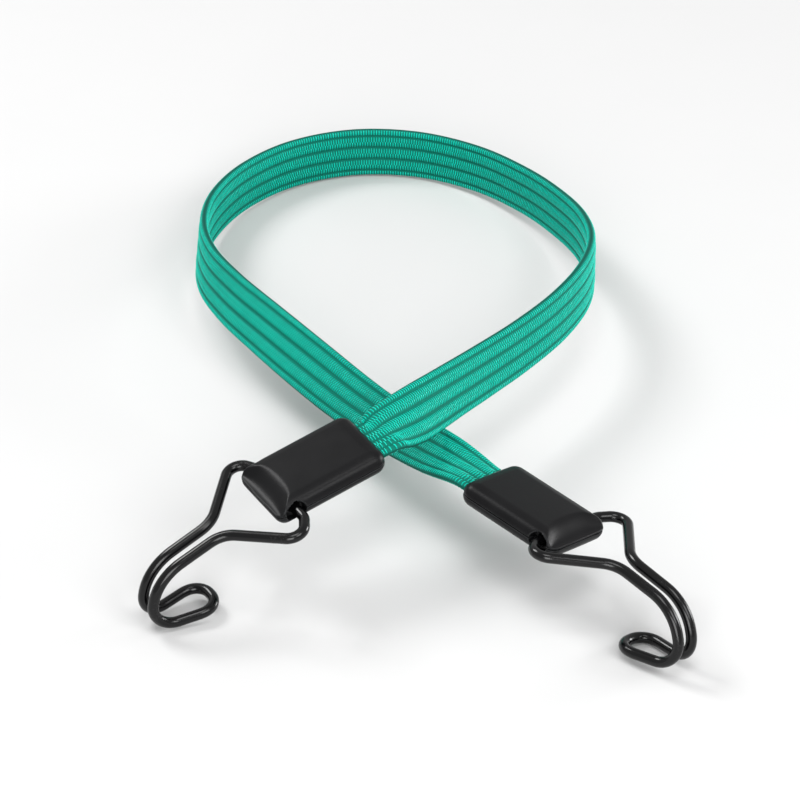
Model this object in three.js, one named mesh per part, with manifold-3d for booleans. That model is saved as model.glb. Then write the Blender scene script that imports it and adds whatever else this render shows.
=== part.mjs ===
// A flat elastic bungee cord, lying on a table in one open loop whose ends cross.
//
// A woven strap with three rubber cores in its ribs ends in a steel crimp at each side.
// Two moulded shells close round the crimp and make an end block. A hook bent from one
// wire stands in two bores in the sides of the block and swings there on its own ends.
//
// Millimetres, +Z up. The table is at z = 0, and +Y points away from the front of the loop.

import * as THREE from 'three';
import { mergeVertices } from 'three/addons/utils/BufferGeometryUtils.js';
import Module from 'manifold-3d';

// Clearances
const touchGap = 0.3;
const cutOverrun = 4;

// Strap: full ribs with a rubber core each, and half a rib along each selvedge
const strapWidth = 18;
const strapThickness = 3.2;
const grooveDepth = 0.5;
const selvedgeDrop = 0.25;
const coreWidth = 2.9;
const coreHeight = 1.7;
const strapStepLength = 11;

// End block, from its strap mouth to its nose
const blockLength = 39;
const blockWidth = 25.6;
const blockThickness = 8.4;
const blockEdgeRound = 2.5;
const tailCornerRadius = 4;
const tailBow = 0.4;
const noseCornerRadius = 3.4;
const noseSlopeRun = 7.4;
const noseSlopeDrop = 3.2;

// Inside the block
const strapEntry = 16;
const strapDrop = 0.6;
const clampLength = 6;
const clampWall = 0.6;
const clampCornerRadius = 1.2;
const clampSetback = 1.5;
const pegRadius = 1.4;
const pegLength = 2.2;
const pegSpacing = 13;
const pegPlace = 21.6;

// Hook wire, and its pivot in the block
const wireDiameter = 3.2;
const pivotPlace = 32.4;
const wireEngagement = 7;
const boreSpare = 3;
const recessDepth = 3;
const recessHeight = 6;
const recessRun = 3;

// Hook bends, measured from the pivot: forward, to the side and down, for half of the wire
const exitLead = 0.9;
const shoulderForward = 5;
const shoulderSpread = 22.2;
const shoulderRadius = 4.5;
const neckForward = 23.2;
const neckDrop = 1.9;
const neckRadius = 21;
const shankSpread = 3;
const archForward = 46;
const archDrop = 7.9;
const archRadius = 15.5;
const gripForward = 50.6;
const gripDrop = 26;
const gripRadius = 7.1;
const flareForward = 40.6;
const flareRadius = 6;
const tipForward = 28;
const tipSpread = 5.2;
const tipRadius = 5.2;

// How the loop lies: the mouth of each block, its heading, rise and roll in degrees, how
// far its hook has swung, positive downwards, and how far it has slid in its bores
const leftMouth = [-14.4, 29, 39.6];
const leftAttitude = { heading: 211.3, rise: -11.4, roll: -2.2 };
const leftSwing = -4.6;
const leftSlide = 2.4;
const rightMouth = [21.9, 24.5, 27.7];
const rightAttitude = { heading: -45.2, rise: -3.6, roll: -10.5 };
const rightSwing = -8.4;
const rightSlide = 1.4;
const mouthLead = 4;

// The free route of the strap from the left block to the right one. Each row holds a
// place and the lean of the strap there: 0 on its edge, 90 flat with the outer face up.
const strapRoute = [
  [-7.7, 35.1, 39.7, 70],
  [-1.3, 43.1, 38.5, 50],
  [4.9, 52.7, 36.5, 34],
  [12.3, 64.1, 34.3, 25],
  [21.4, 76.7, 32.5, 20],
  [34, 92.4, 31.7, 15],
  [46.6, 110.4, 31.2, 11],
  [55.6, 130.4, 29.7, 6],
  [59.3, 152.7, 26.2, 0],
  [57.2, 175.1, 21.6, -4],
  [50.3, 197.5, 16.8, -5],
  [39, 219.4, 12.9, -4],
  [22.6, 238, 10.6, -4],
  [1.7, 249.4, 9.6, -4],
  [-21, 251.2, 9.4, -5],
  [-42.4, 243.3, 9.5, -6],
  [-58.8, 227.5, 10.1, -5],
  [-68.8, 207, 11.5, -2],
  [-72.3, 183.5, 14.2, 5],
  [-69.5, 160, 17.9, 15],
  [-60.9, 137.9, 20.9, 26],
  [-48.1, 117.6, 21.5, 37],
  [-34.2, 99.4, 20.1, 49],
  [-20.7, 82, 19.1, 61],
  [-9.5, 66.8, 20.1, 69],
  [0.2, 53.1, 22.5, 72],
  [8.5, 41.1, 25.2, 79],
];

// Counts and tables of shares
const fullRibs = 3;
const coreSides = 8;
const wireSides = 10;
const boreSides = 16;
const bendStep = THREE.MathUtils.degToRad(20);
const ribCrownShares = [0.26, 0.74];
const selvedgeShares = [[0.08, 0.5], [0.28, 0.8]];
const noseSlopeShares = [[0, 0], [0.14, 0.05], [0.32, 0.2], [0.62, 0.5], [0.93, 0.8], [1, 1]];

// Materials
const wovenGreen = new THREE.MeshStandardMaterial({ color: 0x0aa47e, roughness: 0.75 });
const paleRubber = new THREE.MeshStandardMaterial({ color: 0xc9b98f, roughness: 0.8 });
const blackNylon = new THREE.MeshStandardMaterial({ color: 0x1b1b1d, roughness: 0.5 });
const plainSteel = new THREE.MeshStandardMaterial({ color: 0xa9adb2, roughness: 0.35, metalness: 1 });
const coatedWire = new THREE.MeshStandardMaterial({ color: 0x111112, roughness: 0.35 });

const wasm = await Module();
wasm.setup();

function toSolid(geometry) {
  const plain = new THREE.BufferGeometry();
  plain.setAttribute('position', geometry.getAttribute('position'));
  plain.setIndex(geometry.getIndex());
  const merged = mergeVertices(plain);
  return new wasm.Manifold(new wasm.Mesh({
    numProp: 3,
    vertProperties: merged.getAttribute('position').array,
    triVerts: Uint32Array.from(merged.getIndex().array),
  }));
}

function toGeometry(solid) {
  const { vertProperties, triVerts } = solid.getMesh();
  const geometry = new THREE.BufferGeometry();
  geometry.setAttribute('position', new THREE.BufferAttribute(vertProperties, 3));
  geometry.setIndex(new THREE.BufferAttribute(triVerts, 1));
  geometry.computeVertexNormals();
  return geometry;
}

function boxSolid(x, y, z) {
  const box = new THREE.BoxGeometry(x[1] - x[0], y[1] - y[0], z[1] - z[0]);
  box.translate((x[0] + x[1]) / 2, (y[0] + y[1]) / 2, (z[0] + z[1]) / 2);
  return toSolid(box);
}

// A side profile, drawn as forward and up, carried across the block from one y to another
function crosswiseSolid(profile, from, to) {
  const extruded = new THREE.ExtrudeGeometry(profile, { depth: to - from, bevelEnabled: false, curveSegments: 4 });
  extruded.rotateX(Math.PI / 2);
  extruded.translate(0, to, 0);
  return toSolid(extruded);
}

// Sweeps an outline with holes through stations. Each station has an origin and the two
// axes of its section, and the outline runs anticlockwise seen from the far end.
function sweptGeometry(outline, holes, stations) {
  const loops = [outline, ...holes];
  const section = loops.flat();
  const positions = stations.flatMap(({ origin, across, up }) => section.flatMap((point) =>
    origin.clone().addScaledVector(across, point.x).addScaledVector(up, point.y).toArray()));
  const faces = [];
  for (let row = 1; row < stations.length; row += 1) {
    let first = (row - 1) * section.length;
    for (const loop of loops) {
      for (let index = 0; index < loop.length; index += 1) {
        const here = first + index;
        const next = first + ((index + 1) % loop.length);
        faces.push(here, next, next + section.length);
        faces.push(here, next + section.length, here + section.length);
      }
      first += loop.length;
    }
  }
  const farEnd = (stations.length - 1) * section.length;
  for (const [a, b, c] of THREE.ShapeUtils.triangulateShape(outline, holes)) {
    faces.push(c, b, a);
    faces.push(farEnd + a, farEnd + b, farEnd + c);
  }
  const geometry = new THREE.BufferGeometry();
  geometry.setAttribute('position', new THREE.Float32BufferAttribute(positions, 3));
  geometry.setIndex(faces);
  geometry.computeVertexNormals();
  return geometry;
}

function ellipseOutline(centre, width, height, sides) {
  return Array.from({ length: sides }, (_, side) => {
    const angle = ((side + 0.5) / sides) * 2 * Math.PI;
    return new THREE.Vector2(centre + width / 2 * Math.cos(angle), height / 2 * Math.sin(angle));
  });
}

function roundedOutline(width, height, radius) {
  const shape = new THREE.Shape();
  const x = width / 2 - radius;
  const y = height / 2 - radius;
  shape.absarc(x, -y, radius, -Math.PI / 2, 0);
  shape.absarc(x, y, radius, 0, Math.PI / 2);
  shape.absarc(-x, y, radius, Math.PI / 2, Math.PI);
  shape.absarc(-x, -y, radius, Math.PI, 1.5 * Math.PI);
  return shape.getPoints(1).slice(0, -1);
}

// Strap

const ribPitch = strapWidth / (fullRibs + 1);
const ribCentres = Array.from({ length: fullRibs }, (_, rib) => (rib - (fullRibs - 1) / 2) * ribPitch);

// Half the thickness of the strap, rib by rib, from one selvedge to the other
function ribProfile() {
  const crown = strapThickness / 2;
  const groove = crown - grooveDepth;
  const selvedge = selvedgeShares.map(([inward, rise]) =>
    new THREE.Vector2(inward * ribPitch - strapWidth / 2, rise * (crown - selvedgeDrop)));
  const ribs = ribCentres.flatMap((centre) => [
    new THREE.Vector2(centre - ribPitch / 2, groove),
    ...ribCrownShares.map((share) => new THREE.Vector2(centre + (share - 0.5) * ribPitch, crown)),
  ]);
  const lastGroove = new THREE.Vector2(strapWidth / 2 - ribPitch / 2, groove);
  const farSelvedge = selvedge.toReversed().map((point) => new THREE.Vector2(-point.x, point.y));
  return [...selvedge, ...ribs, lastGroove, ...farSelvedge];
}

function jacketOutline() {
  const upper = ribProfile();
  const lower = upper.map((point) => new THREE.Vector2(point.x, -point.y));
  const nearEdge = new THREE.Vector2(-strapWidth / 2, 0);
  const farEdge = new THREE.Vector2(strapWidth / 2, 0);
  return [nearEdge, ...lower, farEdge, ...upper.toReversed()];
}

// The strap leaves each block square to its mouth. Its outer face is the top of the block.
function strapEnd(block, forwardIsTravel) {
  const forward = new THREE.Vector3().setFromMatrixColumn(block.matrix, 0);
  const up = new THREE.Vector3().setFromMatrixColumn(block.matrix, 2);
  const travel = forward.clone().multiplyScalar(forwardIsTravel ? 1 : -1);
  const along = (distance) => block.position.clone()
    .addScaledVector(forward, distance)
    .addScaledVector(up, -strapDrop);
  return {
    places: [along(strapEntry - touchGap), along(0), along(-mouthLead)],
    lean: leanOf(travel, new THREE.Vector3().crossVectors(up, travel)),
  };
}

// The axes of the strap where it travels level with its width upright
function uprightAxes(travel) {
  const side = new THREE.Vector3(0, 0, 1).cross(travel).normalize();
  const up = new THREE.Vector3().crossVectors(travel, side);
  return { side, up };
}

function leanOf(travel, across) {
  const { side, up } = uprightAxes(travel);
  return Math.atan2(across.dot(side), across.dot(up));
}

function strapStations(leftBlock, rightBlock) {
  const start = strapEnd(leftBlock, false);
  const end = strapEnd(rightBlock, true);
  const places = [
    ...start.places,
    ...strapRoute.map(([x, y, z]) => new THREE.Vector3(x, y, z)),
    ...end.places.toReversed(),
  ];
  const leans = [
    ...start.places.map(() => start.lean),
    ...strapRoute.map((row) => THREE.MathUtils.degToRad(row[3])),
    ...end.places.map(() => end.lean),
  ];
  const route = new THREE.CatmullRomCurve3(places);
  route.arcLengthDivisions = places.length * 20;
  const length = route.getLength();

  // The lean is a curve over the same knots, with the distance travelled beside it
  let travelled = 0;
  const leanKnots = places.map((place, knot) => {
    travelled += knot > 0 ? place.distanceTo(places[knot - 1]) : 0;
    return new THREE.Vector3(travelled, leans[knot] * strapWidth, 0);
  });
  const leanCurve = new THREE.CatmullRomCurve3(leanKnots);

  const entry = strapEntry - touchGap;
  const freeLength = length - 2 * (entry + mouthLead);
  const steps = Math.round(freeLength / strapStepLength);
  const free = Array.from({ length: steps + 1 }, (_, step) => entry + mouthLead + freeLength * step / steps);
  const distances = [0, entry, ...free, length - entry, length];
  return distances.map((distance) => {
    const knot = route.getUtoTmapping(distance / length);
    const travel = route.getTangent(knot);
    const lean = leanCurve.getPoint(knot).y / strapWidth;
    const { side, up } = uprightAxes(travel);
    const across = up.multiplyScalar(Math.cos(lean)).addScaledVector(side, Math.sin(lean));
    return { origin: route.getPoint(knot), across, up: new THREE.Vector3().crossVectors(travel, across) };
  });
}

// End block

function blockPlan() {
  const half = blockWidth / 2;
  const tail = tailBow + tailCornerRadius;
  const nose = blockLength - noseCornerRadius;
  const plan = new THREE.Shape();
  plan.absarc(tail, tailCornerRadius - half, tailCornerRadius, Math.PI, 1.5 * Math.PI);
  plan.absarc(nose, noseCornerRadius - half, noseCornerRadius, -Math.PI / 2, 0);
  plan.absarc(nose, half - noseCornerRadius, noseCornerRadius, 0, Math.PI / 2);
  plan.absarc(tail, half - tailCornerRadius, tailCornerRadius, Math.PI / 2, Math.PI);
  plan.quadraticCurveTo(-tailBow, 0, tailBow, tailCornerRadius - half);
  return plan;
}

function roundedBlock() {
  const body = new THREE.ExtrudeGeometry(blockPlan(), {
    depth: blockThickness - 2 * blockEdgeRound,
    bevelThickness: blockEdgeRound,
    bevelSize: blockEdgeRound,
    bevelOffset: -blockEdgeRound,
    bevelSegments: 4,
    curveSegments: 3,
  });
  body.translate(0, 0, blockEdgeRound - blockThickness / 2);
  return toSolid(body);
}

// The top falls away to a low lip at the nose
function noseSlope() {
  const top = blockThickness / 2;
  const start = blockLength - noseSlopeRun;
  const profile = new THREE.Shape();
  profile.moveTo(start, top + cutOverrun);
  for (const [run, drop] of noseSlopeShares) {
    profile.lineTo(start + run * noseSlopeRun, top - drop * noseSlopeDrop);
  }
  profile.lineTo(blockLength + cutOverrun, top - noseSlopeDrop);
  profile.lineTo(blockLength + cutOverrun, top + cutOverrun);
  return crosswiseSolid(profile, -blockWidth / 2 - cutOverrun, blockWidth / 2 + cutOverrun);
}

// Room for the strap, the crimp and the two ends of the hook wire
function blockHollows() {
  const slotWidth = strapWidth / 2 + touchGap;
  const slotHeight = strapThickness / 2 + touchGap;
  const pocketWidth = slotWidth + clampWall + touchGap;
  const pocketHeight = slotHeight + clampWall + touchGap;
  const clampFar = strapEntry - touchGap - clampSetback;
  const slot = boxSolid(
    [-cutOverrun, strapEntry],
    [-slotWidth, slotWidth],
    [-slotHeight - strapDrop, slotHeight - strapDrop],
  );
  const pocket = boxSolid(
    [clampFar - clampLength - touchGap, clampFar + touchGap],
    [-pocketWidth, pocketWidth],
    [-pocketHeight - strapDrop, pocketHeight - strapDrop],
  );
  return [slot, pocket, ...[-1, 1].flatMap(pivotHollows)];
}

// One bore, and the recess at its mouth that lets the wire bend forward close to the wall
function pivotHollows(side) {
  const wall = blockWidth / 2;
  const inner = wall - wireEngagement - boreSpare;
  const outer = wall + cutOverrun;
  const boreRadius = (wireDiameter / 2 + touchGap) / Math.cos(Math.PI / boreSides);
  const bore = new THREE.CylinderGeometry(boreRadius, boreRadius, outer - inner, boreSides);
  bore.translate(pivotPlace, side * (inner + outer) / 2, 0);
  const recess = new THREE.Shape();
  recess.absarc(pivotPlace, 0, recessHeight / 2, Math.PI / 2, 1.5 * Math.PI);
  recess.absarc(pivotPlace + recessRun, 0, recessHeight / 2, -Math.PI / 2, Math.PI / 2);
  const reach = [side * (wall - recessDepth), side * outer].sort((a, b) => a - b);
  return [toSolid(bore), crosswiseSolid(recess, ...reach)];
}

function pegSolid(radius, from, to, side) {
  const peg = new THREE.CylinderGeometry(radius, radius, to - from, boreSides);
  peg.rotateX(Math.PI / 2);
  peg.translate(pegPlace, side * pegSpacing / 2, (from + to) / 2);
  return toSolid(peg);
}

// The two shells part at mid thickness. Pegs in the top shell locate it in the bottom one.
function blockShells() {
  const body = [noseSlope(), ...blockHollows()].reduce((rest, cut) => rest.subtract(cut), roundedBlock());
  const length = [-cutOverrun, blockLength + cutOverrun];
  const width = [-blockWidth / 2 - cutOverrun, blockWidth / 2 + cutOverrun];
  const face = touchGap / 2;
  const outside = blockThickness / 2 + cutOverrun;
  let top = body.intersect(boxSolid(length, width, [face, outside]));
  let bottom = body.intersect(boxSolid(length, width, [-outside, -face]));
  for (const side of [-1, 1]) {
    top = top.add(pegSolid(pegRadius, -pegLength, pegRadius, side));
    bottom = bottom.subtract(pegSolid(pegRadius + touchGap, -pegLength - touchGap, pegRadius, side));
  }
  return { top: toGeometry(top), bottom: toGeometry(bottom) };
}

// A steel band crimped round the end of the strap
function clampGeometry() {
  const innerWidth = strapWidth + 2 * touchGap;
  const innerHeight = strapThickness + 2 * touchGap;
  const band = roundedOutline(innerWidth + 2 * clampWall, innerHeight + 2 * clampWall, clampCornerRadius);
  const hole = roundedOutline(innerWidth, innerHeight, clampCornerRadius - clampWall).toReversed();
  const far = strapEntry - touchGap - clampSetback;
  const stations = [far - clampLength, far].map((x) => ({
    origin: new THREE.Vector3(x, 0, -strapDrop),
    across: new THREE.Vector3(0, 1, 0),
    up: new THREE.Vector3(0, 0, 1),
  }));
  return sweptGeometry(band, [hole], stations);
}

// Hook

// Each corner of the wire with the radius of its bend, from the end in the block to the tip
function halfWire() {
  const wall = blockWidth / 2;
  return [
    [0, wall - wireEngagement, 0, 0],
    [0, wall + exitLead, 0, shoulderRadius],
    [shoulderForward, shoulderSpread, 0, shoulderRadius],
    [neckForward, shankSpread, -neckDrop, neckRadius],
    [archForward, shankSpread, -archDrop, archRadius],
    [gripForward, shankSpread, -gripDrop, gripRadius],
    [flareForward, tipSpread, -gripDrop, flareRadius],
    [tipForward, tipSpread, -gripDrop, tipRadius],
  ];
}

function wireCorners() {
  const half = halfWire().map(([x, y, z, radius]) => ({ place: new THREE.Vector3(x, y, z), radius }));
  const mirrored = half.toReversed().map(({ place, radius }) => (
    { place: place.clone().setY(-place.y), radius }));
  return [...half, ...mirrored];
}

// Places and directions along the wire, with its bends as arcs. Where two bends would
// meet on a short leg, both take a smaller radius.
function bentPath(corners) {
  const legs = corners.slice(1).map(({ place }, leg) => place.clone().sub(corners[leg].place));
  const bends = corners.map((corner, index) => {
    if (index === 0 || index === corners.length - 1) {
      return { reach: 0 };
    }
    const into = legs[index - 1].clone().normalize();
    const out = legs[index].clone().normalize();
    const angle = into.angleTo(out);
    return { into, out, angle, reach: corner.radius * Math.tan(angle / 2) };
  });
  const fit = legs.map((leg, index) => {
    const wanted = bends[index].reach + bends[index + 1].reach;
    return Math.min(1, 0.98 * leg.length() / wanted);
  });
  const path = [{ place: corners[0].place, direction: legs[0].clone().normalize() }];
  bends.slice(1, -1).forEach(({ into, out, angle, reach }, index) => {
    const tangentLength = reach * Math.min(fit[index], fit[index + 1]);
    const radius = tangentLength / Math.tan(angle / 2);
    const start = corners[index + 1].place.clone().addScaledVector(into, -tangentLength);
    const inward = out.clone().addScaledVector(into, -Math.cos(angle)).normalize();
    const steps = Math.ceil(angle / bendStep);
    for (let step = 0; step <= steps; step += 1) {
      const turn = angle * step / steps;
      path.push({
        place: start.clone()
          .addScaledVector(into, radius * Math.sin(turn))
          .addScaledVector(inward, radius * (1 - Math.cos(turn))),
        direction: into.clone().multiplyScalar(Math.cos(turn)).addScaledVector(inward, Math.sin(turn)),
      });
    }
  });
  path.push({ place: corners.at(-1).place, direction: legs.at(-1).clone().normalize() });
  return path;
}

function hookGeometry() {
  const path = bentPath(wireCorners());
  let across = new THREE.Vector3(0, 0, 1);
  const stations = path.map(({ place, direction }, index) => {
    if (index > 0) {
      const turn = new THREE.Quaternion().setFromUnitVectors(path[index - 1].direction, direction);
      across = across.clone().applyQuaternion(turn);
    }
    return { origin: place, across, up: new THREE.Vector3().crossVectors(direction, across) };
  });
  return sweptGeometry(ellipseOutline(0, wireDiameter, wireDiameter, wireSides), [], stations);
}

// Assembly

function namedMesh(name, geometry, material) {
  const mesh = new THREE.Mesh(geometry, material);
  mesh.name = name;
  return mesh;
}

const shells = blockShells();
const clamp = clampGeometry();
const hook = hookGeometry();

function endFitting(side, mouth, { heading, rise, roll }, swing, slide) {
  const block = new THREE.Group();
  block.position.set(...mouth);
  const angles = [roll, -rise, heading].map(THREE.MathUtils.degToRad);
  block.rotation.set(...angles, 'ZYX');
  block.updateMatrix();
  const pivot = new THREE.Group();
  pivot.position.set(pivotPlace, slide, 0);
  pivot.rotation.y = THREE.MathUtils.degToRad(swing);
  pivot.add(namedMesh(`${side}_wire_hook`, hook, coatedWire));
  block.add(
    namedMesh(`${side}_top_shell`, shells.top, blackNylon),
    namedMesh(`${side}_bottom_shell`, shells.bottom, blackNylon),
    namedMesh(`${side}_strap_clamp`, clamp, plainSteel),
    pivot,
  );
  return block;
}

function strapPieces(leftBlock, rightBlock) {
  const stations = strapStations(leftBlock, rightBlock);
  const channels = ribCentres.map((centre) =>
    ellipseOutline(centre, coreWidth + 2 * touchGap, coreHeight + 2 * touchGap, coreSides).toReversed());
  const jacket = namedMesh('strap_jacket', sweptGeometry(jacketOutline(), channels, stations), wovenGreen);
  const cores = ribCentres.map((centre, rib) => {
    const outline = ellipseOutline(centre, coreWidth, coreHeight, coreSides);
    return namedMesh(`rubber_core_${rib + 1}`, sweptGeometry(outline, [], stations), paleRubber);
  });
  return [jacket, ...cores];
}

const leftFitting = endFitting('left', leftMouth, leftAttitude, leftSwing, leftSlide);
const rightFitting = endFitting('right', rightMouth, rightAttitude, rightSwing, rightSlide);
const bungeeCord = new THREE.Group();
bungeeCord.add(leftFitting, rightFitting, ...strapPieces(leftFitting, rightFitting));

export default bungeeCord;
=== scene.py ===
from math import cos, pi, radians, sin, sqrt, tan

import bmesh
import bpy
import numpy as np
from mathutils import Matrix, Vector


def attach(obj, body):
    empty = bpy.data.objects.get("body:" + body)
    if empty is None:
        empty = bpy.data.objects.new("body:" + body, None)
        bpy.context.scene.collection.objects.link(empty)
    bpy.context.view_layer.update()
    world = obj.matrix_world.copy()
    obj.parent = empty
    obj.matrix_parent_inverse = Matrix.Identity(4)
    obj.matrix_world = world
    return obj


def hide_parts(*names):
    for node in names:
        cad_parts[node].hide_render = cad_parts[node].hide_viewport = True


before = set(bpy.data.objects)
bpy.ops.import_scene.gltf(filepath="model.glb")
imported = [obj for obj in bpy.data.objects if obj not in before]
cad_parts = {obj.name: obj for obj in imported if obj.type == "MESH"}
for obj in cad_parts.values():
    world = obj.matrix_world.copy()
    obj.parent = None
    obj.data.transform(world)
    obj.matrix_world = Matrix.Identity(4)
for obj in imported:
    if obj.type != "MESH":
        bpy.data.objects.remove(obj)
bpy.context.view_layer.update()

# Camera
# Stands in front of the loop and looks down at it at about 35 degrees, from over a metre
# away, so the two strands keep nearly the same width.
LOOK_DOWN = 34.574
CAMERA_PLACE = (-0.0045, -0.8804, 0.68125)
camera_data = bpy.data.cameras.new("camera")
camera_data.lens = 164.53
camera_data.sensor_width = 36
camera_data.clip_start = 0.05
camera = bpy.data.objects.new("camera", camera_data)
camera.location = CAMERA_PLACE
camera.rotation_euler = (radians(90 - LOOK_DOWN), 0, 0)
bpy.context.scene.collection.objects.link(camera)
bpy.context.scene.camera = camera

# Woven sleeve
# The outside of the strap: green polyester yarn, woven round three rubber cores with half
# a rib along each selvedge. It leaves one block, turns over in the loop and enters the other.
STRAP_WIDTH = 0.018
RIB_PITCH = 0.0045
RIB_CROWN = 0.00147
RIB_GROOVE = 0.00072
SELVEDGE_START = 1.5 * RIB_PITCH
SELVEDGE_CROWN = 0.87 * RIB_CROWN
SELVEDGE_PEAK = 0.36
STRAP_ENTRY = 0.0157
STRAP_DROP = 0.0006
MOUTH_LEAD = 0.004
WEFT_PITCH = 0.00093
WARP_PITCH = 0.00036
SECTION_POINTS = 76
CURVE_STEPS = 40
# The shadow, warp and selvedge greens are dark for painted shade between the floats, in the grooves and
# along the selvedges.
GREEN_SHADOW = (0.0, 0.1, 0.072, 1)
GREEN_WARP = (0.0, 0.19, 0.136, 1)
GREEN_DRIFT = (0.0, 0.12, 0.086, 1)
GREEN_SELVEDGE_SHADE = (0.0, 0.04, 0.031, 1)
BLOCK_MOUTHS = {"left": (-0.0144, 0.029, 0.0396), "right": (0.0219, 0.0245, 0.0277)}
BLOCK_TURNS = {"left": (211.3, -11.4, -2.2), "right": (-45.2, -3.6, -10.5)}
# Place in millimetres and lean in degrees, from the left block to the right one
STRAP_ROUTE = (
    (-7.7, 35.1, 39.7, 70), (-1.3, 43.1, 38.5, 50), (4.9, 52.7, 36.5, 34), (12.3, 64.1, 34.3, 25),
    (21.4, 76.7, 32.5, 20), (34, 92.4, 31.7, 15), (46.6, 110.4, 31.2, 11), (55.6, 130.4, 29.7, 6),
    (59.3, 152.7, 26.2, 0), (57.2, 175.1, 21.6, -4), (50.3, 197.5, 16.8, -5), (39, 219.4, 12.9, -4),
    (22.6, 238, 10.6, -4), (1.7, 249.4, 9.6, -4), (-21, 251.2, 9.4, -5), (-42.4, 243.3, 9.5, -6),
    (-58.8, 227.5, 10.1, -5), (-68.8, 207, 11.5, -2), (-72.3, 183.5, 14.2, 5), (-69.5, 160, 17.9, 15),
    (-60.9, 137.9, 20.9, 26), (-48.1, 117.6, 21.5, 37), (-34.2, 99.4, 20.1, 49), (-20.7, 82, 19.1, 61),
    (-9.5, 66.8, 20.1, 69), (0.2, 53.1, 22.5, 72), (8.5, 41.1, 25.2, 79),
)


def block_place(side):
    """Where a block lies: its mouth is its origin, and its hook end is forward."""
    heading, rise, roll = (radians(angle) for angle in BLOCK_TURNS[side])
    turn = Matrix.Rotation(heading, 4, "Z") @ Matrix.Rotation(-rise, 4, "Y")
    return Matrix.Translation(BLOCK_MOUTHS[side]) @ (turn @ Matrix.Rotation(roll, 4, "X"))


def upright_axes(travel):
    """The level and the rising direction square to each direction of travel."""
    level = np.cross(np.broadcast_to([0.0, 0.0, 1.0], travel.shape), travel)
    level /= np.linalg.norm(level, axis=-1, keepdims=True)
    return level, np.cross(travel, level)


def run_along(places):
    """How far along its line each place lies."""
    return np.concatenate([[0], np.cumsum(np.linalg.norm(np.diff(places, axis=0), axis=1))])


def smooth_through(knots):
    """The centripetal curve through the knots."""
    knots = np.array(knots, float)
    ends = np.vstack([2 * knots[0] - knots[1], knots, 2 * knots[-1] - knots[-2]])
    share = (np.arange(CURVE_STEPS) / CURVE_STEPS)[:, None]
    places = []
    for a, b, c, d in zip(ends, ends[1:], ends[2:], ends[3:]):
        before, here, after = (sqrt(np.linalg.norm(q - p)) for p, q in ((a, b), (b, c), (c, d)))
        leave = here * ((b - a) / before - (c - a) / (before + here) + (c - b) / here)
        reach = here * ((c - b) / here - (d - b) / (here + after) + (d - c) / after)
        bend = 3 * (c - b) - 2 * leave - reach
        places.append(b + share * leave + share**2 * bend + share**3 * (c - b - leave - bend))
    return np.vstack([*places, knots[-1]])


def strap_line(spacing):
    """Run, place, across and outward directions of each step along the strap, end to end."""
    places, leans = [], []
    # Each end runs straight into its block, at the block's own lean
    for side, sign in (("left", -1), ("right", 1)):
        turn = block_place(side)
        forward, up = np.array(turn.col[0][:3]), np.array(turn.col[2][:3])
        mouth = np.array(turn.translation) - up * STRAP_DROP
        ends = [mouth + forward * run for run in (STRAP_ENTRY, 0, -MOUTH_LEAD)][::-sign]
        level, rise = upright_axes(forward * sign)
        across = np.cross(up, forward * sign)
        leans.append([np.arctan2(across @ level, across @ rise)] * 3)
        places.append(ends)
    route = np.array(STRAP_ROUTE)
    knots = np.vstack([places[0], route[:, :3] / 1000, places[1]])
    tilt = np.concatenate([leans[0], np.radians(route[:, 3]), leans[1]])
    run = run_along(knots)
    line = smooth_through(knots)
    lean = smooth_through(np.c_[run, tilt * STRAP_WIDTH, 0 * run])[:, 1] / STRAP_WIDTH
    far = run_along(line)
    even = np.linspace(0, far[-1], round(far[-1] / spacing) + 1)
    place = np.stack([np.interp(even, far, line[:, axis]) for axis in range(3)], 1)
    travel = np.gradient(place, axis=0)
    travel /= np.linalg.norm(travel, axis=1)[:, None]
    level, rise = upright_axes(travel)
    lean = np.interp(even, far, lean)[:, None]
    across = rise * np.cos(lean) + level * np.sin(lean)
    return even, place, across, np.cross(travel, across)


def rib_height(across):
    """Half the thickness of the sleeve at that distance from its middle line."""
    across = abs(across)
    if across < SELVEDGE_START:
        off = abs((across + RIB_PITCH / 2) % RIB_PITCH - RIB_PITCH / 2) / (RIB_PITCH / 2)
        return RIB_GROOVE + (RIB_CROWN - RIB_GROOVE) * (1 - off**2.3) ** 0.8
    off = (across - SELVEDGE_START) / (RIB_PITCH / 2)
    if off < SELVEDGE_PEAK:
        rise = 1 - ((SELVEDGE_PEAK - off) / SELVEDGE_PEAK) ** 2.2
        return RIB_GROOVE + (SELVEDGE_CROWN - RIB_GROOVE) * rise
    return SELVEDGE_CROWN * sqrt(max(0, 1 - ((off - SELVEDGE_PEAK) / (1 - SELVEDGE_PEAK)) ** 2))


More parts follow.
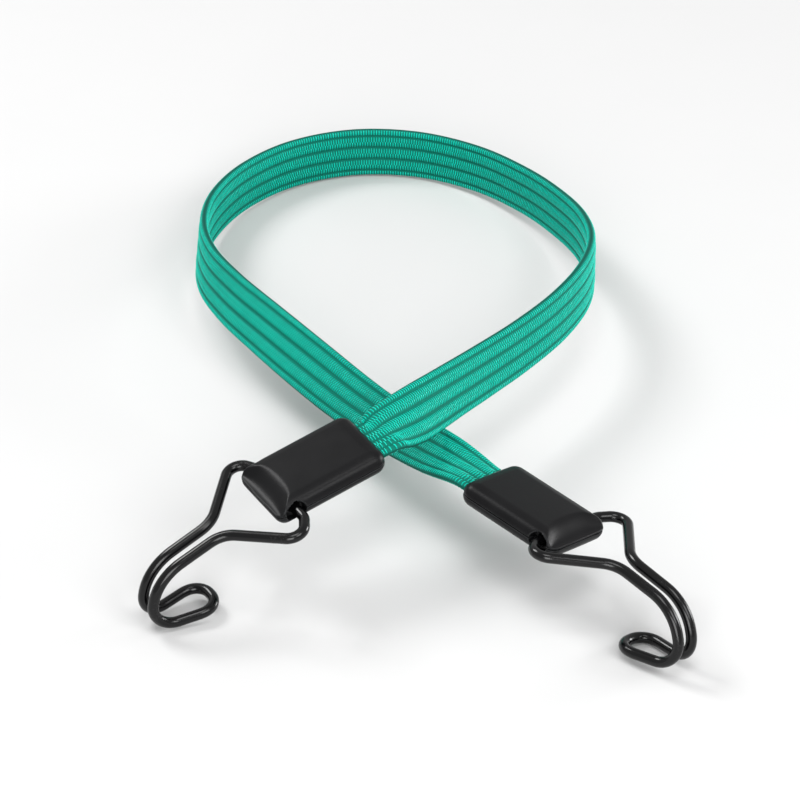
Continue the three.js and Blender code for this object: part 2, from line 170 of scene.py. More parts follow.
def lofted(name, outline, line):
    """A closed tube: the outline, as across and outward distances, carried along the line."""
    run, place, across, outward = line
    ring = np.array(outline)
    points = (place[:, None] + ring[None, :, :1] * across[:, None]
              + ring[None, :, 1:] * outward[:, None])
    rows, sides = points.shape[:2]
    first = (np.arange(rows - 1)[:, None] * sides + np.arange(sides)).ravel()
    after = (np.arange(rows - 1)[:, None] * sides + (np.arange(sides) + 1) % sides).ravel()
    faces = np.stack([first, after, after + sides, first + sides], 1).tolist()
    caps = [list(range(sides))[::-1], [(rows - 1) * sides + side for side in range(sides)]]
    mesh = bpy.data.meshes.new(name)
    mesh.from_pydata(points.reshape(-1, 3).tolist(), [], faces + caps)
    girth = run_along(np.vstack([ring, ring[:1]]))
    layer = mesh.uv_layers.new(name="weave")
    corner = np.zeros((len(mesh.loops), 2))
    quads = len(faces)
    side = np.tile(np.arange(sides), rows - 1)
    row = np.repeat(np.arange(rows - 1), sides)
    near, beside, here, ahead = girth[side], girth[side + 1], run[row], run[row + 1]
    corner[: 4 * quads, 0] = np.stack([near, beside, beside, near], 1).ravel()
    corner[: 4 * quads, 1] = np.stack([here, here, ahead, ahead], 1).ravel()
    layer.data.foreach_set("uv", corner.astype(np.float32).ravel())
    mesh.polygons.foreach_set("use_smooth", [True] * quads + [False] * 2)
    thing = bpy.data.objects.new(name, mesh)
    bpy.context.scene.collection.objects.link(thing)
    bm = bmesh.new()
    bm.from_mesh(mesh)
    bmesh.ops.recalc_face_normals(bm, faces=bm.faces)
    bm.to_mesh(mesh)
    bm.free()
    return thing


class Value:
    """A value in a node tree, which takes arithmetic."""

    def __init__(self, tree, socket):
        self.tree, self.socket = tree, socket

    def work(self, operation, *values):
        return self.add("ShaderNodeMath", {"operation": operation}, dict(enumerate(values)))

    def add(self, kind, settings, inputs, output=0):
        """Adds one node: its settings, then the value or link of each named input."""
        made = self.tree.nodes.new(kind)
        for name, value in settings.items():
            setattr(made, name, value)
        for name, value in inputs.items():
            if isinstance(value, Value):
                self.tree.links.new(value.socket, made.inputs[name])
            else:
                made.inputs[name].default_value = value
        return Value(self.tree, made.outputs[output])

    def __add__(self, other):
        return self.work("ADD", self, other)

    def __mul__(self, other):
        return self.work("MULTIPLY", self, other)

    def __sub__(self, other):
        return self.work("SUBTRACT", self, other)

    def __rsub__(self, other):
        return self.work("SUBTRACT", other, self)

    def __pow__(self, other):
        return self.work("POWER", self, other)

    __radd__, __rmul__ = __add__, __mul__


def finish_of(name, roughness, specular=0.5, **constants):
    """A material, its shader with those constants, and the value that its nodes start from."""
    material = bpy.data.materials.new(name)
    material.use_nodes = True
    tree = material.node_tree
    shader = tree.nodes["Principled BSDF"]
    shader.inputs["Roughness"].default_value = roughness
    shader.inputs["Specular IOR Level"].default_value = specular
    for socket, value in constants.items():
        shader.inputs[socket.replace("_", " ")].default_value = value
    return material, shader, Value(tree, None)


def feed(value, shader, socket):
    """Lets the value set that socket of the shader, all over the surface."""
    value.tree.links.new(value.socket, shader.inputs[socket])


def mixed(share, one, other):
    """A colour between two others."""
    return share.add("ShaderNodeMix", {"data_type": "RGBA"}, {0: share, 6: one, 7: other}, 2)


def ground_weave(girth):
    """The warp between the weft rows, drawn along the strap in dark greens that paint shade between the
    floats and in the grooves, painted darkest at the selvedges.
    """
    material, shader, nodes = finish_of("green_warp", 0.65, 0.12)
    weave = nodes.add("ShaderNodeUVMap", {"uv_map": "weave"}, {})
    across = nodes.add("ShaderNodeSeparateXYZ", {}, {0: weave})
    along = Value(nodes.tree, across.socket.node.outputs[1])
    ends = across.work("SINE", across * (2 * pi / WARP_PITCH)) * 0.5 + 0.5
    picks = across.work("SINE", along * (2 * pi / WEFT_PITCH)) * 0.5 + 0.5
    place = nodes.add("ShaderNodeVectorMath", {"operation": "MULTIPLY"}, {0: weave, 1: (1, 0.08, 1)})
    fibre = nodes.add("ShaderNodeTexNoise", {}, {"Vector": place, "Scale": 9000.0, "Detail": 2.0})
    drift = nodes.add("ShaderNodeTexNoise", {}, {"Vector": weave, "Scale": 45.0, "Detail": 1.0})
    # Painted shade: the ground is darkened towards both selvedges.
    edge = across.work("ABSOLUTE", across.work("COSINE", across * (2 * pi / girth))) ** 500
    # The dark greens of the ground paint shade between the floats and in the grooves, with fibres and
    # warp ends drawn in them.
    yarn = mixed(fibre * 0.6 + ends * 0.4, GREEN_SHADOW, GREEN_WARP)
    warp = mixed(drift * 0.4, yarn, GREEN_DRIFT)
    feed(mixed(edge * 0.75, warp, GREEN_SELVEDGE_SHADE), shader, "Base Color")
    height = ends * 0.6 + picks * 0.8 + fibre * 0.5
    bump = nodes.add("ShaderNodeBump", {}, {"Strength": 0.6, "Distance": 0.00012, "Height": height})
    feed(bump, shader, "Normal")
    return material


def rib_outline():
    """The section of the sleeve, once round, with its points closer at the selvedges."""
    shares = [step / SECTION_POINTS for step in range(SECTION_POINTS + 1)]
    closer = [STRAP_WIDTH / 2 * sin(pi / 2 * (2 * share - 1)) for share in shares]
    even = [STRAP_WIDTH * (share - 0.5) for share in shares]
    across = [0.3 * a + 0.7 * b for a, b in zip(closer, even)]
    upper = [(place, rib_height(place)) for place in across[1:-1]]
    lower = [(place, -height) for place, height in upper]
    return [(-STRAP_WIDTH / 2, 0), *lower, (STRAP_WIDTH / 2, 0), *upper[::-1]]


strap_course = strap_line(2 * WEFT_PITCH)
strap_length = float(strap_course[0][-1])
section = rib_outline()
sleeve = lofted("woven_sleeve", section, strap_course)
sleeve.data.materials.append(ground_weave(float(run_along(section + section[:1])[-1])))
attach(sleeve, "strap")
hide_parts("strap_jacket")

# Weft yarn
# Bulked green yarn that crosses every rib in short floats, half a pitch apart from one side
# of the rib to the other, and turns round the selvedges. It makes the bright ladder rows.
YARN_WIDTH = 0.00048
YARN_RISE = 0.00017
YARN_SUNK = 0.0001
# The section of the yarn, as shares of its half width and rise, and how bright each place is painted: a
# painted highlight on the crown, painted shade at the foot
YARN_SECTION = ((-1, 0, 0), (-0.62, 0.72, 0.6), (0, 1, 1), (0.62, 0.72, 0.6), (1, 0, 0))
# Where a float starts and ends, from the middle of its rib or from the start of its selvedge
RIB_SPAN = (-0.00024, 0.00204)
SELVEDGE_SPAN = (0.00016, 0.00219)
BARE_END = STRAP_ENTRY + 0.0004
GREEN_YARN = (0.0, 0.72, 0.54, 1)
GREEN_LUSTRE = (0.004, 0.84, 0.65, 1)
GREEN_FADED = (0.0, 0.3, 0.22, 1)


def yarn_float(name, span, middle, steps, end_shade):
    """One float of yarn over part of a rib, laid on the section of the sleeve, with a painted highlight
    on its crown and painted shade on its flanks and towards its end.
    """
    start, end = span
    mesh = bpy.data.meshes.new(name)
    bm = bmesh.new()
    proud = bm.verts.layers.float.new("proud")
    rings = []
    for step in range(steps + 1):
        share = step / steps
        off = start + (end - start) * share
        swell = sqrt(max(0.0, 1 - (2 * share - 1) ** 2)) * 0.8 + 0.2
        height = rib_height(middle + off)
        lean = (rib_height(middle + off + 1e-5) - rib_height(middle + off - 1e-5)) / 2e-5
        outward = Vector((0, -lean, 1)).normalized()
        base = Vector((0, off, height)) - outward * YARN_SUNK
        half = YARN_WIDTH / 2 * (0.75 + 0.25 * swell)
        rise = (YARN_RISE + YARN_SUNK) * swell
        rings.append([])
        for beside, above, level in YARN_SECTION:
            place = base + Vector((beside * half, 0, 0)) + outward * (above * rise)
            rings[-1].append(bm.verts.new(place))
            # Painted light: bright on the crown, shaded on the flanks, and darker towards the end of the
            # float by the share given.
            rings[-1][-1][proud] = level * (1 - end_shade * abs(off / RIB_PITCH * 2) ** 1.6)
    for one, other in zip(rings, rings[1:]):
        for side in range(len(one)):
            near = (side + 1) % len(one)
            bm.faces.new((one[side], one[near], other[near], other[side]))
    bm.faces.new(rings[0][::-1])
    bm.faces.new(rings[-1])
    bmesh.ops.recalc_face_normals(bm, faces=bm.faces)
    for face in bm.faces:
        face.smooth = True
    bm.to_mesh(mesh)
    bm.free()
    thing = bpy.data.objects.new(name, mesh)
    bpy.context.scene.collection.objects.link(thing)
    return thing


def weft_tree():
    """Sets a float of yarn on every point, turned to the directions that the point holds."""
    tree = bpy.data.node_groups.new("weft_rows", "GeometryNodeTree")
    sockets = {}
    for name, kind, way in (("Rows", "Geometry", "INPUT"), ("Float", "Object", "INPUT"),
                            ("Yarn", "Material", "INPUT"), ("Unevenness", "Float", "INPUT"),
                            ("Cloth", "Geometry", "OUTPUT")):
        sockets[name] = tree.interface.new_socket(name, in_out=way, socket_type="NodeSocket" + kind)
    nodes = Value(tree, None)
    given = tree.nodes.new("NodeGroupInput")
    rows, float_object, yarn, uneven = (Value(tree, socket) for socket in list(given.outputs)[:4])
    shape = nodes.add("GeometryNodeObjectInfo", {}, {"Object": float_object, "As Instance": True},
                      "Geometry")
    vector = {"data_type": "FLOAT_VECTOR"}
    outward = nodes.add("GeometryNodeInputNamedAttribute", vector, {"Name": "outward"})
    across = nodes.add("GeometryNodeInputNamedAttribute", vector, {"Name": "across"})
    turn = nodes.add("FunctionNodeAxesToRotation", {"primary_axis": "Z", "secondary_axis": "Y"},
                     {0: outward, 1: across})
    number = {"data_type": "FLOAT"}
    size = nodes.add("FunctionNodeRandomValue", number,
                     {"Min": 1 - uneven, "Max": uneven + 1, "Seed": 7}, 1)
    scale = nodes.add("ShaderNodeCombineXYZ", {}, {0: size, 1: 1.0, 2: 1.0})
    placed = nodes.add("GeometryNodeInstanceOnPoints", {},
                       {"Points": rows, "Instance": shape, "Rotation": turn, "Scale": scale})
    shade = nodes.add("FunctionNodeRandomValue", number, {"Min": 0.0, "Max": 1.0, "Seed": 3}, 1)
    named = nodes.add("GeometryNodeStoreNamedAttribute", {**number, "domain": "INSTANCE"},
                      {"Geometry": placed, "Name": "shade", "Value": shade})
    real = nodes.add("GeometryNodeRealizeInstances", {}, {"Geometry": named})
    dressed = nodes.add("GeometryNodeSetMaterial", {}, {"Geometry": real, "Material": yarn})
    result = tree.nodes.new("NodeGroupOutput")
    tree.links.new(dressed.socket, result.inputs[0])
    return tree, {name: socket.identifier for name, socket in sockets.items()}


def weft_yarn():
    """Lustrous filament yarn: fine filaments along each float, no two floats quite alike, with a painted
    highlight on each crown and painted shade on its flanks and ends.
    """
    material, shader, nodes = finish_of("green_weft", 0.3, 0.5, Specular_Tint=(0.25, 1, 0.85, 1))
    shade = nodes.add("ShaderNodeAttribute", {"attribute_name": "shade"}, {}, "Fac")
    place = nodes.add("ShaderNodeTexCoord", {}, {}, "Object")
    fibre = nodes.add("ShaderNodeTexNoise", {}, {"Vector": place, "Scale": 6000.0, "Detail": 3.0})
    drift = nodes.add("ShaderNodeTexNoise", {}, {"Vector": place, "Scale": 60.0, "Detail": 2.0})
    # The proud level paints the highlight and shade of each float into its colour.
    proud = nodes.add("ShaderNodeAttribute", {"attribute_name": "proud"}, {}, "Fac")
    yarn = mixed(proud * (shade * 0.35 + 0.65), GREEN_SHADOW, GREEN_YARN)
    bright = mixed(fibre * 0.4, yarn, GREEN_LUSTRE)
    feed(mixed(drift * 0.25, bright, GREEN_FADED), shader, "Base Color")
    feed(fibre * 0.2 + 0.16, shader, "Roughness")
    bump = nodes.add("ShaderNodeBump", {}, {"Strength": 0.35, "Distance": 0.00005, "Height": fibre})
    feed(bump, shader, "Normal")
    return material


def weft_points(name, course, faces, halves):
    """A point for each float, with the outward and across directions that it is turned to."""
    rows = {"place": [], "outward": [], "across": []}
    for face in faces:
        for middle, half in halves:
            start = BARE_END + (0.25 if half > 0 else -0.25) * WEFT_PITCH
            stops = np.arange(start, strap_length - BARE_END, WEFT_PITCH)
            spot, across, outward = (
                np.stack([np.interp(stops, course[0], column[:, axis]) for axis in range(3)], 1)
                for column in course[1:])
            rows["place"].append(spot + middle * across)
            rows["outward"].append(face * outward)
            rows["across"].append(half * across)
    mesh = bpy.data.meshes.new(name)
    mesh.from_pydata(np.vstack(rows["place"]).tolist(), [], [])
    for attribute in ("outward", "across"):
        held = mesh.attributes.new(attribute, "FLOAT_VECTOR", "POINT")
        held.data.foreach_set("vector", np.vstack(rows[attribute]).astype(np.float32).ravel())
    thing = bpy.data.objects.new(name, mesh)
    bpy.context.scene.collection.objects.link(thing)
    return thing


def grown(thing, tree, values):
    """Runs the tree on the points and keeps the result as a plain mesh."""
    modifier = thing.modifiers.new("rows", "NODES")
    modifier.node_group = tree
    for identifier, value in values.items():
        modifier[identifier] = value
    thing.update_tag()
    bpy.context.view_layer.update()
    made = bpy.data.meshes.new_from_object(thing.evaluated_get(bpy.context.evaluated_depsgraph_get()))
    thing.modifiers.remove(modifier)
    thing.data = made
    return thing


fine_course = strap_line(WEFT_PITCH / 2)
# Each float is painted darker towards its end: shade towards the grooves on the ribs, and towards the
# edge on the selvedges.
rib_float = yarn_float("rib_float", RIB_SPAN, middle=0, steps=4, end_shade=0.75)
edge_float = yarn_float("edge_float", SELVEDGE_SPAN, middle=SELVEDGE_START, steps=6, end_shade=0.4)
rib_halves = [(middle, half) for middle in (-RIB_PITCH, 0, RIB_PITCH) for half in (1, -1)]
selvedge_halves = [(-SELVEDGE_START, -1), (SELVEDGE_START, 1)]
rows_tree, row_inputs = weft_tree()
weft_material = weft_yarn()
for name, float_shape, faces, halves in (
    ("weft_outer_face", rib_float, (1,), rib_halves),
    ("weft_inner_face", rib_float, (-1,), rib_halves),
    ("weft_selvedges", edge_float, (1, -1), selvedge_halves),
):
    weft = weft_points(name, fine_course, faces, halves)
    grown(weft, rows_tree, {row_inputs["Float"]: float_shape, row_inputs["Yarn"]: weft_material,
                            row_inputs["Unevenness"]: 0.08})
    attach(weft, "strap")
for shape in (rib_float, edge_float):
    bpy.data.objects.remove(shape)

# Rubber cores
# Three bundles of pale rubber thread, one in each full rib. They make the strap elastic
# and show nowhere on a whole one.
CORE_WIDTH = 0.0029
CORE_HEIGHT = 0.0017
CORE_SIDES = 24
CORE_STEP = 0.003
LOBE_DEPTH = 0.07


def rubber():
    material, shader, nodes = finish_of("pale_rubber_thread", 0.55, 0.3)
    place = nodes.add("ShaderNodeTexCoord", {}, {}, "Object")
    cloud = nodes.add("ShaderNodeTexNoise", {}, {"Vector": place, "Scale": 400.0, "Detail": 4.0})
    feed(mixed(cloud, (0.5, 0.41, 0.22, 1), (0.62, 0.54, 0.33, 1)), shader, "Base Color")
    bump = nodes.add("ShaderNodeBump", {}, {"Strength": 0.3, "Distance": 0.0001, "Height": cloud})
    feed(bump, shader, "Normal")
    return material


rubber_material = rubber()
core_course = strap_line(CORE_STEP)
for rib, middle in enumerate((-RIB_PITCH, 0, RIB_PITCH)):
    outline = []
    for side in range(CORE_SIDES):
        angle = 2 * pi * (side + 0.5) / CORE_SIDES
        lobe = 1 - LOBE_DEPTH * abs(cos(angle * 4))
        across = CORE_WIDTH / 2 * lobe * cos(angle)
        outline.append((middle + across, CORE_HEIGHT / 2 * lobe * sin(angle)))
    core = lofted(f"rubber_thread_{rib + 1}", outline, core_course)
    core.data.materials.append(rubber_material)
    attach(core, "strap")
    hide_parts(f"rubber_core_{rib + 1}")

# Strap crimps
# A band of plain steel strip, pressed flat round each end of the strap inside its block,
# so that a pull on the strap can't draw it out.


def crimp_steel():
    material, shader, nodes = finish_of("crimp_steel", 0.35, Metallic=1.0)
    place = nodes.add("ShaderNodeTexCoord", {}, {}, "Object")
    cloud = nodes.add("ShaderNodeTexNoise", {}, {"Vector": place, "Scale": 900.0, "Detail": 5.0})
    feed(mixed(cloud, (0.36, 0.38, 0.41, 1), (0.5, 0.52, 0.55, 1)), shader, "Base Color")
    feed(cloud * 0.25 + 0.25, shader, "Roughness")
    return material


steel = crimp_steel()
for side in ("left", "right"):
    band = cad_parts[f"{side}_strap_clamp"]
    band.data.materials.clear()
    band.data.materials.append(steel)

# End blocks
# Two shells of black nylon, moulded with a fine texture, close round the strap end and part
# at mid thickness. The top falls from an arched ridge to a low lip, and the sides open for the wire.
BLOCK_LENGTH = 0.039
BLOCK_WIDTH = 0.0256
BLOCK_THICKNESS = 0.0084
TAIL_CORNER = 0.004
NOSE_CORNER = 0.0034
CORNER_POINTS = 10
# How far the outer edge of each shell is rounded over, and how far its shoulder drops
SHELL_EDGES = {"top": (0.0022, 0.0012), "bottom": (0.0031, 0.0005)}
SHOULDER_RUN = 0.0044
SIDE_FALL = 0.00025
MIDDLE_INSET = 0.0126
RIDGE_PLACE = 0.0304
RIDGE_ARCH = 0.005
SLOPE_END = 0.0382
SLOPE_DROP = 0.0034
SHELL_GAP = 0.0003
MOUTH_HEIGHT = 0.0038
MOUTH_DEPTH = 0.016
PIVOT_PLACE = 0.0324
WIRE_WIDTH = 0.0034
BORE_DEPTH = 0.01
RECESS_FRONT = 0.0362
RECESS_HEIGHT = 0.006
RECESS_DEPTH = 0.003
SHELL_VOXEL = 0.00026
WORN_HEIGHT = 0.00008


def as_object(name, bm):
    """Makes the working mesh an object, with its faces outward."""
    mesh = bpy.data.meshes.new(name)
    bmesh.ops.recalc_face_normals(bm, faces=bm.faces)
    bm.to_mesh(mesh)
    bm.free()
    thing = bpy.data.objects.new(name, mesh)
    bpy.context.scene.collection.objects.link(thing)
    return thing


def stacked(name, rings):
    """A closed solid from rings of points that each lie round the one before."""
    bm = bmesh.new()
    made = [[bm.verts.new(point) for point in ring] for ring in rings]
    for one, other in zip(made, made[1:]):
        for side in range(len(one)):
            near = (side + 1) % len(one)
            bm.faces.new((one[side], one[near], other[near], other[side]))
    bm.faces.new(made[0][::-1])
    bm.faces.new(made[-1])
    return as_object(name, bm)


def block_plan(inset):
    """The plan of the block at that distance in from its edge, with points all along it."""
    corners = []
    for x, y, corner, start in ((BLOCK_LENGTH, 1, NOSE_CORNER, 0), (0, 1, TAIL_CORNER, 90),
                                (0, -1, TAIL_CORNER, 180), (BLOCK_LENGTH, -1, NOSE_CORNER, 270)):
        inward = -1 if x else 1
        reach = max(corner - inset, 0.0001)
        for step in range(CORNER_POINTS):
            angle = radians(start + 90 * step / (CORNER_POINTS - 1))
            corners.append((x + inward * (inset + reach) + reach * cos(angle),
                            y * (BLOCK_WIDTH / 2 - inset - reach) + reach * sin(angle)))
    plan = []
    for index, (one, other) in enumerate(zip(corners, corners[1:] + corners[:1])):
        corner, step = divmod(index, CORNER_POINTS)
        parts = 1 if step < CORNER_POINTS - 1 else (80, 50)[corner % 2]
        plan += [tuple(a + (b - a) * part / parts for a, b in zip(one, other)) for part in range(parts)]
    return plan


def shell_height(half, x, y, inset):
    """How far the outside of a shell stands from the middle of the block."""
    round_over, drop = SHELL_EDGES[half]
    share = min(1, abs(y) / (BLOCK_WIDTH / 2))
    level = BLOCK_THICKNESS / 2 - SIDE_FALL * share**2 - drop * max(0, 1 - inset / SHOULDER_RUN) ** 1.3
    if inset < round_over:
        level -= round_over - sqrt(round_over**2 - (round_over - inset) ** 2)
    ridge = RIDGE_PLACE + RIDGE_ARCH * share**3
    down = min(1, (x - ridge) / (SLOPE_END - ridge))
    if half == "top" and down > 0:
        fall = down**2 * (3 - 2 * down)
        level = min(level, BLOCK_THICKNESS / 2 - SLOPE_DROP * fall)
    return level


def shell_body(half, sign):
    """A shell without its openings, in rings from the parting line to the middle of its outside."""
    round_over, _ = SHELL_EDGES[half]
    edge = [round_over * (1 - cos(pi / 2 * step / 7)) for step in range(7)]
    face = [round_over + (MIDDLE_INSET - round_over) * step / 26 for step in range(27)]
    rings = [[(x, y, sign * SHELL_GAP / 2) for x, y in block_plan(0)]]
    for inset in edge + face:
        rings.append([(x, y, sign * shell_height(half, x, y, inset)) for x, y in block_plan(inset)])
    return stacked("shell_body", rings)


def prism(name, outline, low, high):
    """A solid whose side view, as forward and up, runs across the block."""
    return stacked(name, [[(x, y, z) for x, z in outline] for y in (low, high)])


def cut(thing, tool):
    """Takes the tool out of the piece."""
    modifier = thing.modifiers.new("cut", "BOOLEAN")
    modifier.operation = "DIFFERENCE"
    modifier.object = tool
    modifier.solver = "EXACT"
    made = bpy.data.meshes.new_from_object(thing.evaluated_get(bpy.context.evaluated_depsgraph_get()))
    thing.modifiers.remove(modifier)
    thing.data = made
    bpy.data.objects.remove(tool)


def box(name, low, high):
    """A plain block between two corners, to cut with."""
    (x0, y0, z0), (x1, y1, z1) = low, high
    ring = ((x0, y0), (x1, y0), (x1, y1), (x0, y1))
    return stacked(name, [[(x, y, z) for x, y in ring] for z in (z0, z1)])


def moulded_shell(half, sign):
    """One shell of a block in its own place, with every edge as soft as moulding leaves it."""
    shell = shell_body(half, sign)
    past, wall = BLOCK_THICKNESS / 2, BLOCK_WIDTH / 2
    beside, above = STRAP_WIDTH / 2 + SHELL_GAP, MOUTH_HEIGHT / 2
    cut(shell, box("mouth", (-past, -beside, -above - STRAP_DROP),
                   (MOUTH_DEPTH, beside, above - STRAP_DROP)))
    radius, recess_radius = WIRE_WIDTH / 2 + SHELL_GAP, RECESS_HEIGHT / 2
    bore = [(PIVOT_PLACE + radius * cos(2 * pi * step / 24), radius * sin(2 * pi * step / 24))
            for step in range(24)]
    recess = [(PIVOT_PLACE - recess_radius * sin(pi * step / 16), recess_radius * cos(pi * step / 16))
              for step in range(17)]
    for ahead, up in ((0.0006, -0.0021), (0, -0.0015), (0, 0.0015), (0.0006, 0.0021)):
        recess.append((RECESS_FRONT - ahead, up))
    for side in (-1, 1):
        for outline, depth in ((bore, BORE_DEPTH), (recess, RECESS_DEPTH)):
            cut(shell, prism("opening", outline, *sorted((side * (wall - depth), side * (wall + past)))))
    for kind, settings in (
        ("REMESH", {"mode": "VOXEL", "voxel_size": SHELL_VOXEL, "use_smooth_shade": True}),
        ("SMOOTH", {"factor": 0.5, "iterations": 7}),
    ):
        modifier = shell.modifiers.new(kind, kind)
        for name, value in settings.items():
            setattr(modifier, name, value)
    made = bpy.data.meshes.new_from_object(shell.evaluated_get(bpy.context.evaluated_depsgraph_get()))
    bpy.data.objects.remove(shell)
    return made


def moulded_nylon():
    """Satin black nylon with the fine texture of its mould, greyer where edges are handled."""
    material, shader, nodes = finish_of("black_nylon", 0.34, 0.13)
    place = nodes.add("ShaderNodeTexCoord", {}, {}, "Object")
    grain = nodes.add("ShaderNodeTexNoise", {}, {"Vector": place, "Scale": 2600.0, "Detail": 3.0})
    cloud = nodes.add("ShaderNodeTexNoise", {}, {"Vector": place, "Scale": 140.0, "Detail": 5.0})
    worn = nodes.add("ShaderNodeAttribute", {"attribute_name": "worn"}, {}, "Fac")
    rub = nodes.add("ShaderNodeMapRange", {}, {"Value": worn * (cloud * 0.8 + 0.6), "From Min": 0.35})
    plain = mixed(cloud, (0.0036, 0.0036, 0.004, 1), (0.0062, 0.0062, 0.0068, 1))
    feed(mixed(rub * 0.8, plain, (0.024, 0.025, 0.026, 1)), shader, "Base Color")
    feed(grain * 0.14 + cloud * 0.16 + 0.2 - rub * 0.05, shader, "Roughness")
    height = grain + cloud * 0.8
    bump = nodes.add("ShaderNodeBump", {}, {"Strength": 0.4, "Distance": 0.00006, "Height": height})
    feed(bump, shader, "Normal")
    return material


def mark_worn(mesh):
    """Stores how far each point stands proud of its neighbours, from 0 to 1."""
    count = len(mesh.vertices)
    place = np.zeros(count * 3, np.float32)
    mesh.vertices.foreach_get("co", place)
    place = place.reshape(-1, 3)
    edges = np.zeros(len(mesh.edges) * 2, np.int32)
    mesh.edges.foreach_get("vertices", edges)
    edges = edges.reshape(-1, 2)
    normal = np.array([v.vector[:] for v in mesh.vertex_normals])
    mean = place.copy()
    for _ in range(3):
        total, number = np.zeros((count, 3)), np.zeros(count)
        for one, other in ((0, 1), (1, 0)):
            np.add.at(total, edges[:, one], mean[edges[:, other]])
            np.add.at(number, edges[:, one], 1)
        mean = total / np.maximum(number, 1)[:, None]
    proud = ((place - mean) * normal).sum(1) / WORN_HEIGHT
    held = mesh.attributes.new("worn", "FLOAT", "POINT")
    held.data.foreach_set("value", np.clip(proud, 0, 1).astype(np.float32))


nylon = moulded_nylon()
for half, sign in (("top", 1), ("bottom", -1)):
    pattern = moulded_shell(half, sign)
    mark_worn(pattern)
    for side in ("left", "right"):
        mesh = pattern.copy()
        mesh.transform(block_place(side))
        mesh.materials.clear()
        mesh.materials.append(nylon)
        shell = bpy.data.objects.new(f"{side}_{half}_moulding", mesh)
        bpy.context.scene.collection.objects.link(shell)
        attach(shell, "strap")
        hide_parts(f"{side}_{half}_shell")

# Wire hooks
# One steel wire, dipped in black plastic and bent into a double hook. Its two ends stand in
# the bores of the block, where it swings.
HOOK_SWING = {"left": -4.6, "right": -8.4}
HOOK_SLIDE = {"left": 0.0024, "right": 0.0014}
WIRE_SIDES = 24
WIRE_STEP = 0.001
BEND_STEP = radians(5)
# Forward, to the side, down and the radius of each bend, in millimetres, from the pivot
HALF_HOOK = (
    (0, 5.8, 0, 0), (0, 13.7, 0, 4.5), (5, 22.2, 0, 4.5), (22.7, 3.2, 1.9, 10), (46, 3, 7.9, 15.5),
    (50.6, 3, 25.8, 7.1), (34.4, 5.8, 25.8, 9), (28, 5.8, 25.8, 5.3),
)


def hook_line():
    """Places along the middle of the wire, from one end to the other, with arcs for bends."""
    half = [(Vector((x, y, -z)) / 1000, radius / 1000) for x, y, z, radius in HALF_HOOK]
    corners = half + [(Vector((p.x, -p.y, p.z)), radius) for p, radius in half[::-1]]
    legs = [other[0] - one[0] for one, other in zip(corners, corners[1:])]
    turns = [0] + [one.angle(other) for one, other in zip(legs, legs[1:])] + [0]
    reach = [radius * tan(turn / 2) for (_, radius), turn in zip(corners, turns)]
    room = [one + other for one, other in zip(reach, reach[1:])]
    fit = [min(1, 0.98 * leg.length / max(needed, 1e-9)) for leg, needed in zip(legs, room)]
    places = [corners[0][0]]
    for bend in range(1, len(corners) - 1):
        into, out = legs[bend - 1].normalized(), legs[bend].normalized()
        back = reach[bend] * min(fit[bend - 1], fit[bend])
        radius = back / tan(turns[bend] / 2)
        inward = (out - into * cos(turns[bend])).normalized()
        start = corners[bend][0] - into * back
        straight = int((start - places[-1]).length / WIRE_STEP)
        places += [places[-1].lerp(start, (step + 1) / (straight + 1)) for step in range(straight)]
        count = max(4, round(turns[bend] / BEND_STEP))
        for step in range(count + 1):
            angle = turns[bend] * step / count
            places.append(start + into * radius * sin(angle) + inward * radius * (1 - cos(angle)))
    return places + [corners[-1][0]]


def dipped_wire():
    """Glossy black dip: long soft lights, faint runs, and duller, greyer scuffs scattered over it."""
    material, shader, nodes = finish_of("black_dip", 0.2, 0.32)
    place = nodes.add("ShaderNodeTexCoord", {}, {}, "Object")
    run = nodes.add("ShaderNodeTexNoise", {}, {"Vector": place, "Scale": 110.0, "Detail": 2.0})
    speck = nodes.add("ShaderNodeTexNoise", {}, {"Vector": place, "Scale": 1500.0, "Detail": 4.0})
    scuff = nodes.add("ShaderNodeMapRange", {},
                      {"Value": speck * 0.5 + run * 0.5, "From Min": 0.6, "From Max": 0.7})
    feed(mixed(scuff * 0.5, (0.0013, 0.0013, 0.0015, 1), (0.011, 0.011, 0.012, 1)), shader, "Base Color")
    feed(run * 0.12 + scuff * 0.2 + 0.12, shader, "Roughness")
    height = run + speck * 0.2
    bump = nodes.add("ShaderNodeBump", {}, {"Strength": 0.1, "Distance": 0.0001, "Height": height})
    feed(bump, shader, "Normal")
    return material


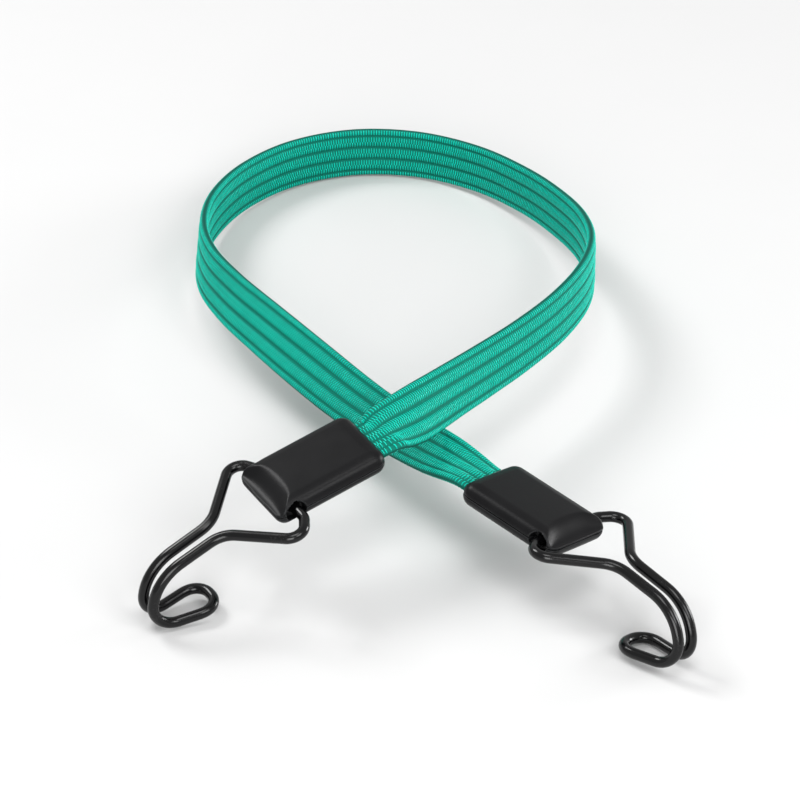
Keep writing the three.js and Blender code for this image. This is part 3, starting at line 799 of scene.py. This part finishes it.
dip = dipped_wire()
wire_places = np.array(hook_line())
wire_travel = np.gradient(wire_places, axis=0)
wire_travel /= np.linalg.norm(wire_travel, axis=1)[:, None]
wire_across = [np.array([0.0, 0.0, 1.0])]
for before, after in zip(wire_travel, wire_travel[1:]):
    turn = Vector(before).rotation_difference(Vector(after))
    wire_across.append(np.array(turn @ Vector(wire_across[-1])))
wire_across = np.array(wire_across)
wire_course = (run_along(wire_places), wire_places, wire_across, np.cross(wire_travel, wire_across))
wire_round = []
for side in range(WIRE_SIDES):
    angle = 2 * pi * side / WIRE_SIDES
    wire_round.append((WIRE_WIDTH / 2 * cos(angle), WIRE_WIDTH / 2 * sin(angle)))
for side in ("left", "right"):
    hook = lofted(f"{side}_dipped_hook", wire_round, wire_course)
    swing = Matrix.Rotation(radians(HOOK_SWING[side]), 4, "Y")
    swing = Matrix.Translation((PIVOT_PLACE, HOOK_SLIDE[side], 0)) @ swing
    hook.data.transform(block_place(side) @ swing)
    hook.data.materials.append(dip)
    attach(hook, f"{side}_hook")
    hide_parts(f"{side}_wire_hook")

# Floor and light
# A plain pale table in a bright room. Soft lights stand behind it on the left, overhead, in
# front on the right, straight in front, and low on the right, where they graze the yarn.


def table_top():
    material, shader, nodes = finish_of("pale_table", 0.7, 0.2)
    place = nodes.add("ShaderNodeTexCoord", {}, {}, "Object")
    cloud = nodes.add("ShaderNodeTexNoise", {}, {"Vector": place, "Scale": 30.0})
    feed(mixed(cloud, (0.6, 0.6, 0.6, 1), (0.591, 0.591, 0.591, 1)), shader, "Base Color")
    return material


floor_mesh = bpy.data.meshes.new("floor")
floor_mesh.from_pydata([(-4, -4, 0), (4, -4, 0), (4, 4, 0), (-4, 4, 0)], [], [(0, 1, 2, 3)])
floor_mesh.materials.append(table_top())
floor = bpy.data.objects.new("floor", floor_mesh)
bpy.context.scene.collection.objects.link(floor)
for name, place, size, power in (
    ("left_light", (-0.66, 0.5, 0.88), 0.4, 7),
    ("top_light", (0.05, -0.25, 1.2), 0.5, 4.4),
    ("right_light", (0.65, -0.6, 0.85), 0.5, 5),
    ("front_light", (-0.05, -1.05, 0.42), 0.6, 8),
    ("low_light", (1.2, 0.45, 0.24), 0.45, 9),
):
    light_data = bpy.data.lights.new(name, "AREA")
    light_data.size = size
    light_data.energy = power
    light = bpy.data.objects.new(name, light_data)
    light.location = place
    light.rotation_euler = (Vector((0, 0.1, 0)) - Vector(place)).to_track_quat("-Z", "Y").to_euler()
    bpy.context.scene.collection.objects.link(light)
room = bpy.data.worlds.new("room")
room.use_nodes = True
walls = room.node_tree.nodes["Background"]
walls.inputs["Color"].default_value = (1, 1, 1, 1)
walls.inputs["Strength"].default_value = 0.6
bpy.context.scene.world = room
bpy.context.scene.view_settings.view_transform = "Standard"
